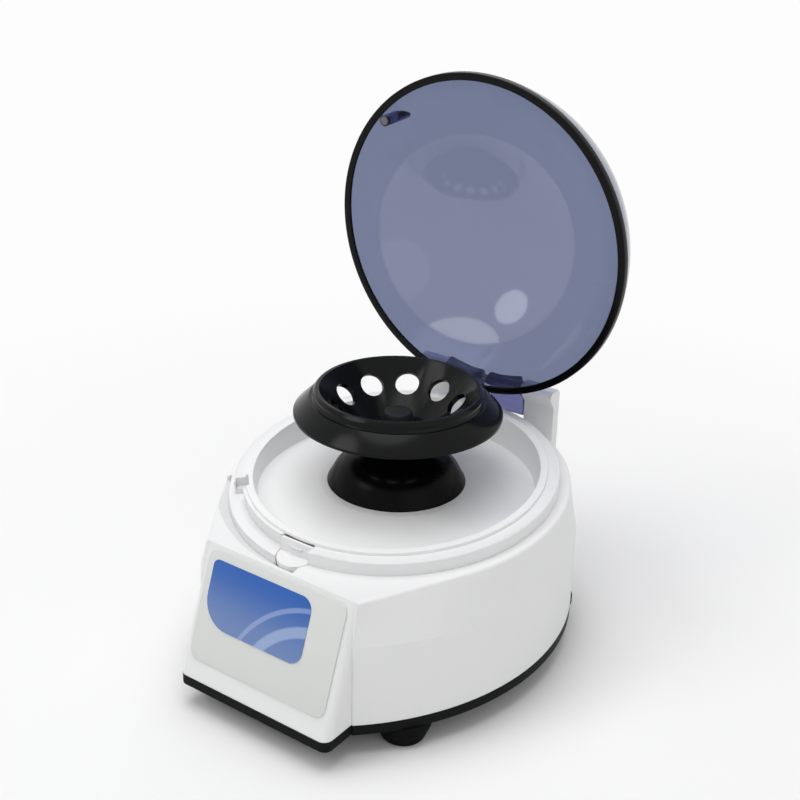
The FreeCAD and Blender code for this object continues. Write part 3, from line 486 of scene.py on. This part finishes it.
lamps = [
    {"name": "topLamp", "place": (-0.15, -0.1, 2.0), "size": 1.7, "watts": 18},
    {"name": "keyLamp", "place": (-0.8, -1.2, 1.5), "size": 0.8, "watts": 5.5},
    {"name": "sideLamp", "place": (1.6, -0.5, 1.0), "size": 1.4, "watts": 2},
    {"name": "backLamp", "place": (-0.5, 1.5, 1.4), "size": 1.4, "watts": 3},
]
for lamp in lamps:
    bpy.ops.object.light_add(type="AREA", location=lamp["place"])
    light = bpy.context.object
    light.name = lamp["name"]
    light.data.shape = "DISK"
    light.data.size = lamp["size"]
    light.data.energy = lamp["watts"]
    light.rotation_euler = (Vector((0, 0, 0.1)) - Vector(lamp["place"])).to_track_quat("-Z", "Y").to_euler()

world = bpy.data.worlds.new("paleStudio")
world.use_nodes = True
bpy.context.scene.world = world
worldTree = world.node_tree
worldTree.nodes.clear()
worldOut = worldTree.nodes.new("ShaderNodeOutputWorld")
sky = worldTree.nodes.new("ShaderNodeBackground")
sky.inputs["Color"].default_value = (1, 1, 1, 1)
level = mapRange(worldTree, 0.52, 1.0)
worldTree.links.new(backgroundRays(worldTree), level.inputs["Value"])
worldTree.links.new(level.outputs["Result"], sky.inputs["Strength"])
worldTree.links.new(sky.outputs[0], worldOut.inputs["Surface"])
bpy.context.scene.view_settings.view_transform = "Standard"
print("Studio set")

# Places shared with the frame: the ring's tilted axis and the lid swung open about its pin
hinge = {"tilt": math.radians(5.83), "ringHeight": 0.0899, "out": 0.07702, "up": 0.01215,
         "open": math.radians(92.73)}
onRing = Matrix.Translation((0, 0, hinge["ringHeight"])) @ Matrix.Rotation(hinge["tilt"], 4, "X")
pivot = onRing @ Vector((0, hinge["out"], hinge["up"]))
onLid = (Matrix.Translation(pivot) @ Matrix.Rotation(-hinge["open"], 4, "X")
         @ Matrix.Translation(-pivot) @ onRing)


# Lid: a spherical dome with two hinge arms and a boss that carries the magnet
dome = {"radius": 0.082005, "centre": -0.021705, "edge": 0.0033, "wall": 0.002, "low": 0.0001,
        "armWidth": 0.0198, "armStart": 0.002, "barrel": 0.0034, "lever": 0.015, "leverThick": 0.0025,
        "leverLift": 0.002, "bossRadius": 0.0027, "bossReach": 0.0717, "bossTurn": math.radians(-47),
        "magnet": 0.002}


def domeBall(radius):
    bpy.ops.mesh.primitive_uv_sphere_add(segments=160, ring_count=80, radius=radius,
                                         location=(0, 0, dome["centre"]))
    ball = bpy.context.object
    bpy.ops.object.transform_apply(location=True)
    return ball


def lidShell():
    shell = domeBall(dome["radius"])
    editNew()
    bpy.ops.mesh.bisect(plane_co=(0, 0, dome["edge"] - 0.002), plane_no=(0, 0, 1), clear_inner=True)
    bpy.ops.object.mode_set(mode="OBJECT")
    addModifier(shell, "SOLIDIFY", thickness=dome["wall"], offset=-1, use_even_offset=True)
    editNew()
    bpy.ops.mesh.bisect(plane_co=(0, 0, dome["edge"]), plane_no=(0, 0, 1), clear_inner=True, use_fill=True)
    bpy.ops.object.mode_set(mode="OBJECT")
    return shell


def hingeArm(start):
    middle = start + dome["armWidth"] / 2
    bpy.ops.mesh.primitive_cylinder_add(vertices=48, radius=dome["barrel"], depth=dome["armWidth"],
                                        location=(middle, hinge["out"], hinge["up"]),
                                        rotation=(0, math.pi / 2, 0))
    arm = bpy.context.object
    roundEdges(arm, 0.0006)
    web = block(start + 0.0003, start + dome["armWidth"] - 0.0003, hinge["out"] - 0.006, hinge["out"] + 0.0008,
                hinge["up"] - 0.0066, hinge["up"] + 0.0008)
    editNew()
    bpy.ops.mesh.bisect(plane_co=(0, hinge["out"] + 0.0023, hinge["up"] - 0.0023), plane_no=(0, 0.8, -0.6),
                        clear_outer=True, use_fill=True)
    bpy.ops.object.mode_set(mode="OBJECT")
    roundEdges(web, 0.0004)
    leverUp = hinge["up"] + dome["leverLift"]
    lever = block(start + 0.0002, start + dome["armWidth"] - 0.0002, hinge["out"], hinge["out"] + dome["lever"],
                  leverUp - dome["leverThick"] / 2, leverUp + dome["leverThick"] / 2)
    roundEdges(lever, 0.0006)
    joinCut(arm, web, "UNION")
    joinCut(arm, lever, "UNION")
    joinCut(arm, domeBall(dome["radius"] - 0.0004), "DIFFERENCE")
    return arm


shell = lidShell()
shell.matrix_world = onLid
finishPiece(shell, "lidShell", materials["tintedClear"], "lid", ["lid_dome"])
for side, start in (("Right", dome["armStart"]), ("Left", -dome["armStart"] - dome["armWidth"])):
    arm = hingeArm(start)
    arm.matrix_world = onLid @ arm.matrix_world
    finishPiece(arm, "lidArm" + side, materials["tintedDeep"], "lid")

bandProfile = [(74.6, 0.1), (78.1, 0.1), (78.1, 3.3), (76.1, 3.3), (76.1, 1.3), (74.6, 1.3)]
band = ringStack([(r / 1000, z / 1000) for r, z in bandProfile], 192)
roundEdges(band, 0.0003)
band.matrix_world = onLid
finishPiece(band, "lidBand", materials["blackBand"], "lid", ["lid_trim"])

# The boss is a post with a rounded end, a well for the magnet and a top cut to the dome
bpy.ops.mesh.primitive_cylinder_add(vertices=48, radius=dome["bossRadius"], depth=0.018,
                                    location=(0, -dome["bossReach"], dome["low"] + 0.009))
boss = bpy.context.object
bpy.ops.object.transform_apply(location=True)
roundEdges(boss, 0.0003)
bpy.ops.mesh.primitive_cylinder_add(vertices=48, radius=dome["magnet"] + 0.00005, depth=0.004,
                                    location=(0, -dome["bossReach"], dome["low"]))
joinCut(boss, bpy.context.object, "DIFFERENCE")
joinCut(boss, domeBall(dome["radius"] - dome["wall"] + 0.0003), "INTERSECT")
boss.matrix_world = onLid @ Matrix.Rotation(dome["bossTurn"], 4, "Z")
finishPiece(boss, "lidBoss", materials["tintedDeep"], "lid")
print("Lid made")

# Rotor: one turned head with a dished well, ten leaning tube holes and a skirt
rotorHead = {"profile": [(3.05, 103), (8, 103), (8, 107), (16.4, 107), (36.6, 127.2), (46, 118.45), (48, 118.45),
                         (48, 119.65), (40.8, 126.6), (39.6, 126.6), (39, 127.6), (39, 129.4), (37.8, 130.8),
                         (36.2, 130.8), (35.2, 129.4), (16, 110), (3.05, 110)],
             "holes": 10, "phase": math.radians(9), "holeRadius": 0.0057, "circle": 0.0272, "height": 0.1212,
             "lean": math.radians(135)}
head = ringStack([(r / 1000, z / 1000) for r, z in rotorHead["profile"]], 160)
for index in range(rotorHead["holes"]):
    turn = rotorHead["phase"] + index * 2 * math.pi / rotorHead["holes"]
    bpy.ops.mesh.primitive_cylinder_add(vertices=48, radius=rotorHead["holeRadius"], depth=0.010)
    drill = bpy.context.object
    drill.matrix_world = (Matrix.Rotation(turn, 4, "Z")
                          @ Matrix.Translation((rotorHead["circle"], 0, rotorHead["height"]))
                          @ Matrix.Rotation(rotorHead["lean"], 4, "Y"))
    bpy.context.view_layer.update()
    joinCut(head, drill, "DIFFERENCE")
roundEdges(head, 0.0004, 3, 25)
finishPiece(head, "rotorHead", materials["blackGloss"], "rotor", ["rotor"])

shroudProfile = [(32.6, 84), (31.3, 86.2), (28.8, 91.0), (26.2, 94.0), (23.6, 95.9), (20.8, 97), (18.0, 98.2),
                 (14.8, 100.5), (5.5, 100.5), (5.5, 98.5), (14.3, 98.5), (19.3, 95.4), (23.0, 94.0), (26.7, 89.6),
                 (29.4, 85.6), (30.4, 84)]
shroud = ringStack([(r / 1000, z / 1000) for r, z in shroudProfile], 128)
roundEdges(shroud, 0.0005, 3, 30)
finishPiece(shroud, "shroudCone", materials["blackCone"], "housing", ["motor_shroud"], 50)

rotorCap = {"profile": [(7.9, 110), (8.2, 110.3), (8.2, 113.5), (6.6, 118.5), (6.2, 119.1), (5.2, 119.5)],
            "bore": 0.00305, "boreTop": 0.115, "grips": 10, "gripRadius": 0.0014, "gripOut": 0.0087}
cap = solidStack(millimetres(rotorCap["profile"]), 80)
bpy.ops.mesh.primitive_cylinder_add(vertices=48, radius=rotorCap["bore"], depth=0.02,
                                    location=(0, 0, rotorCap["boreTop"] - 0.01))
joinCut(cap, bpy.context.object, "DIFFERENCE")
for index in range(rotorCap["grips"]):
    turn = index * 2 * math.pi / rotorCap["grips"]
    bpy.ops.mesh.primitive_cylinder_add(
        vertices=24, radius=rotorCap["gripRadius"], depth=0.02,
        location=(rotorCap["gripOut"] * math.cos(turn), rotorCap["gripOut"] * math.sin(turn), 0.1228))
    joinCut(cap, bpy.context.object, "DIFFERENCE")
roundEdges(cap, 0.0003, 2, 25)
finishPiece(cap, "rotorCap", materials["blackInner"], "rotor", ["rotor_nut"])
print("Rotor made")

# Rubber feet: a tapered bush with a well for its screw
feet = {"profile": [(1.6, 11), (1.6, 5), (3.3, 5), (3.3, 0), (9, 0), (9.7, 0.3), (10, 1), (12.5, 7), (12.5, 10.6),
                    (12.1, 11)],
        "places": [(x, y, 0) for x in (-0.051, 0.051) for y in (-0.062, 0.062)]}
foot = ringStack(millimetres(feet["profile"]), 64)
roundEdges(foot, 0.0003, 2)
repeated(foot, [Matrix.Translation(place) for place in feet["places"]], "rubberFoot", materials["rubber"],
         "housing", "rubber_feet")


# A pan head screw with a threaded shank and a cross recess, its seat at the origin, head upward
def panScrew(head, height, shank, length):
    turns = int(length / 0.0007)
    pitch = (length - 0.0006) / turns
    profile = [(shank * 0.5, -length)]
    for turn in range(turns):
        profile += [(shank * 0.84, -length + 0.0006 + pitch * turn),
                    (shank, -length + 0.0006 + pitch * (turn + 0.5))]
    profile += [(shank * 0.84, -0.00002), (head - 0.0001, 0), (head, 0.0002), (head, height * 0.45),
                (head * 0.86, height * 0.8), (head * 0.5, height * 0.97), (head * 0.2, height)]
    screw = solidStack(profile, 32)
    for across, along in ((head * 0.6, head * 0.14), (head * 0.14, head * 0.6)):
        joinCut(screw, block(-across, across, -along, along, height * 0.35, height * 1.5), "DIFFERENCE")
    return screw


screwSets = [
    {"name": "carrierScrew", "slot": "carrier_screws", "size": (0.003, 0.002, 0.0015, 0.016), "up": False,
     "places": [(x, y, 0.068) for x in (-0.023335, 0.023335) for y in (-0.023335, 0.023335)]},
    {"name": "motorScrew", "slot": "motor_screws", "size": (0.003, 0.002, 0.0015, 0.004), "up": False,
     "places": [(-0.015, 0, 0.068), (0.015, 0, 0.068)]},
    {"name": "housingScrew", "slot": "housing_screws", "size": (0.003, 0.002, 0.0015, 0.022), "up": True,
     "places": [(x, y, 0.0131) for x in (-0.073, 0.073) for y in (-0.028, 0.028)]},
    {"name": "footScrew", "slot": "foot_screws", "size": (0.003, 0.002, 0.0015, 0.011), "up": True,
     "places": [(x, y, 0.005) for x in (-0.051, 0.051) for y in (-0.062, 0.062)]},
    {"name": "boardScrew", "slot": "board_screws", "size": (0.0024, 0.0016, 0.0012, 0.006), "up": False,
     "places": [(x, y, 0.0246) for x in (-0.026, 0.026) for y in (-0.090, -0.060)]},
]
for screws in screwSets:
    flip = Matrix.Rotation(math.pi if screws["up"] else 0, 4, "X")
    repeated(panScrew(*screws["size"]), [Matrix.Translation(place) @ flip for place in screws["places"]],
             screws["name"], materials["steel"], "housing", screws["slot"])
print("Feet and screws made")

# Coil spring under the latch: a round wire wound in a helix
spring = {"wire": 0.00035, "coil": 0.0027, "turns": 4, "low": -0.01465, "length": 0.0052,
          "place": (-0.001, -0.0729), "seat": -0.015, "keep": 0.66}
bpy.ops.mesh.primitive_circle_add(vertices=14, radius=spring["wire"], location=(spring["coil"], 0, 0),
                                  rotation=(math.pi / 2, 0, 0))
coil = bpy.context.object
bpy.ops.object.transform_apply(location=True, rotation=True)
addModifier(coil, "SCREW", axis="Z", steps=40, render_steps=40, iterations=spring["turns"],
            screw_offset=spring["length"] / spring["turns"])
editNew()
bpy.ops.mesh.fill_holes(sides=0)
bpy.ops.object.mode_set(mode="OBJECT")
coil.matrix_world = onRing @ Matrix.Translation((*spring["place"], spring["low"]))
finishPiece(coil, "latchCoil", materials["steel"], "housing", ["latch_spring"])
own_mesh(coil)

# Rocker marks, a line and a ring, each laid on its half of the rocker's face
rockerMarks = {"axle": (0, 0.09505, 0.034), "rest": math.radians(-8), "slope": math.radians(6.48),
               "face": (0.00217, 0.005), "line": (0.0003, 0.0018), "ring": (0.0012, 0.0016), "lift": 0.00012}
onRocker = Matrix.Translation(rockerMarks["axle"]) @ Matrix.Rotation(rockerMarks["rest"], 4, "X")
out, along = rockerMarks["face"]
half, reach = rockerMarks["line"]
line = block(-half, half, -rockerMarks["lift"], rockerMarks["lift"], -reach, reach)
roundEdges(line, 0.00005, 2)
line.matrix_world = (onRocker @ Matrix.Translation((0, out, along))
                     @ Matrix.Rotation(-rockerMarks["slope"], 4, "X"))
finishPiece(line, "rockerLine", materials["markWhite"], "rocker")
inner, outer = rockerMarks["ring"]
lift = rockerMarks["lift"]
circle = ringStack([(inner, -lift), (outer, -lift), (outer, lift), (inner, lift)], 48)
roundEdges(circle, 0.00005, 2)
circle.matrix_world = (onRocker @ Matrix.Translation((0, out, -along))
                       @ Matrix.Rotation(rockerMarks["slope"] - math.pi / 2, 4, "X"))
finishPiece(circle, "rockerRing", materials["markWhite"], "rocker")

# The inlet's metal sleeve over its centre pin
inlet = {"place": (-0.03, 0.08255, 0.034), "profile": [(1.04, 0), (1.04, 9.4), (0.95, 9.8), (0.5, 10.05)]}
sleeve = solidStack(millimetres(inlet["profile"]), 32)
sleeve.matrix_world = Matrix.Translation(inlet["place"]) @ Matrix.Rotation(-math.pi / 2, 4, "X")
finishPiece(sleeve, "inletPin", materials["groundSteel"], "housing")

# Capacitors: sleeved cans with a crimped groove and a bare scored top
capacitors = {"places": [(-0.016, -0.069, 0.0246), (-0.006, -0.069, 0.0246)],
              "can": [(3.85, 0), (4, 0.2), (4, 1.5), (3.7, 1.9), (4, 2.3), (4, 10.5), (3.85, 10.85), (3.4, 10.95)],
              "top": [(3.3, 10.5), (3.3, 10.9), (3.1, 11)], "score": (0.0026, 0.00015)}
can = solidStack(millimetres(capacitors["can"]), 48)
repeated(can, [Matrix.Translation(place) for place in capacitors["places"]], "capacitorCan",
         materials["sleeve"], "housing", "capacitors")
top = solidStack(millimetres(capacitors["top"]), 48)
reach, half = capacitors["score"]
for x, y in ((reach, half), (half, reach)):
    joinCut(top, block(-x, x, -y, y, 0.0109, 0.012), "DIFFERENCE")
for number, place in enumerate(capacitors["places"]):
    finishPiece(copyOf(top, Matrix.Translation(place)), "capacitorTop" + str(number + 1), materials["zinc"],
                "housing")
bpy.data.objects.remove(top)
print("Spring, switch and board pieces made")

# Front panel: a film on the console's slope, with a printed blue patch
panel = {"foot": (0, -0.1051, 0.016), "lean": math.radians(70.34), "half": 0.0382, "low": 0.0095,
         "high": 0.0605, "thick": 0.0008, "round": 0.005}
patch = {"left": -0.0345, "right": 0.0211, "low": 0.0265, "high": 0.0565, "top": 0.0012,
         "rounds": (0.014, 0.006, 0.003, 0.006), "centre": (0.030, 0.004)}
onPanel = Matrix.Translation(panel["foot"]) @ Matrix.Rotation(panel["lean"], 4, "X")
film = block(-panel["half"], panel["half"], panel["low"], panel["high"], 0, panel["thick"])
for x in (-panel["half"], panel["half"]):
    for y in (panel["low"], panel["high"]):
        roundCorner(film, (x, y), panel["round"])
roundEdges(film, 0.00015, 2)
film.matrix_world = onPanel
finishPiece(film, "panelFilm", materials["panelFilm"], "housing", ["front_panel"])


# Blue patch: printed blue crossed by two pale printed arcs; its paler lower part is a painted sheen, deepening to
# the printed blue towards the top
def printAndPaintedSheen():
    material = bpy.data.materials.new("printAndPaintedSheen")
    material.use_nodes = True
    tree = material.node_tree
    surface = tree.nodes["Principled BSDF"]
    sheen = tree.nodes.new("ShaderNodeGroup")
    sheen.node_tree = shaderGroups["moulding"]
    sheen.inputs["Gloss Low"].default_value = 0.18
    sheen.inputs["Gloss High"].default_value = 0.3
    tree.links.new(sheen.outputs["Roughness"], surface.inputs["Roughness"])
    place = tree.nodes.new("ShaderNodeTexCoord")
    upSlope = onPanel.to_3x3() @ Vector((0, 1, 0))
    climb = tree.nodes.new("ShaderNodeVectorMath")
    climb.operation = "DOT_PRODUCT"
    climb.inputs[1].default_value = upSlope
    tree.links.new(place.outputs["Object"], climb.inputs[0])
    low = (onPanel @ Vector((0, patch["low"], 0))).dot(upSlope)
    depth = mapRange(tree, 0, 1, low, low + patch["high"] - patch["low"])
    depth.interpolation_type = "SMOOTHSTEP"
    tree.links.new(climb.outputs["Value"], depth.inputs["Value"])
    # Painted sheen: the pale colour at the bottom of the patch stands in for a sheen of light and fades into the
    # deep printed blue at the top
    fade = mixColour(tree, (0.15, 0.24, 0.50), (0.010, 0.10, 0.42), depth.outputs["Result"])
    away = tree.nodes.new("ShaderNodeVectorMath")
    away.operation = "DISTANCE"
    away.inputs[1].default_value = onPanel @ Vector((*patch["centre"], 0))
    tree.links.new(place.outputs["Object"], away.inputs[0])
    arcs = tree.nodes.new("ShaderNodeValToRGB")
    reach = mapRange(tree, 0, 1, 0.03, 0.06)
    tree.links.new(away.outputs["Value"], reach.inputs["Value"])
    tree.links.new(reach.outputs["Result"], arcs.inputs["Fac"])
    arcs.color_ramp.elements[0].position = 0.2
    arcs.color_ramp.elements[1].position = 1
    arcs.color_ramp.elements[1].color = (0, 0, 0, 1)
    for stop, level in ((0.23, 0.55), (0.36, 0.55), (0.39, 0), (0.56, 0), (0.58, 0.4), (0.63, 0.4), (0.65, 0)):
        mark = arcs.color_ramp.elements.new(stop)
        mark.color = (level, level, level, 1)
    colour = mixColour(tree, fade, (0.45, 0.56, 0.80), arcs.outputs["Color"])
    tree.links.new(colour, surface.inputs["Base Color"])
    return material


patchPlate = block(patch["left"], patch["right"], patch["low"], patch["high"], panel["thick"], patch["top"])
corners = [(patch["left"], patch["low"]), (patch["right"], patch["low"]), (patch["left"], patch["high"]),
           (patch["right"], patch["high"])]
for corner, radius in zip(corners, patch["rounds"]):
    roundCorner(patchPlate, corner, radius)
roundEdges(patchPlate, 0.0001, 2)
patchPlate.matrix_world = onPanel
finishPiece(patchPlate, "bluePatch", printAndPaintedSheen(), "housing", ["panel_window"])
print("Panel made")
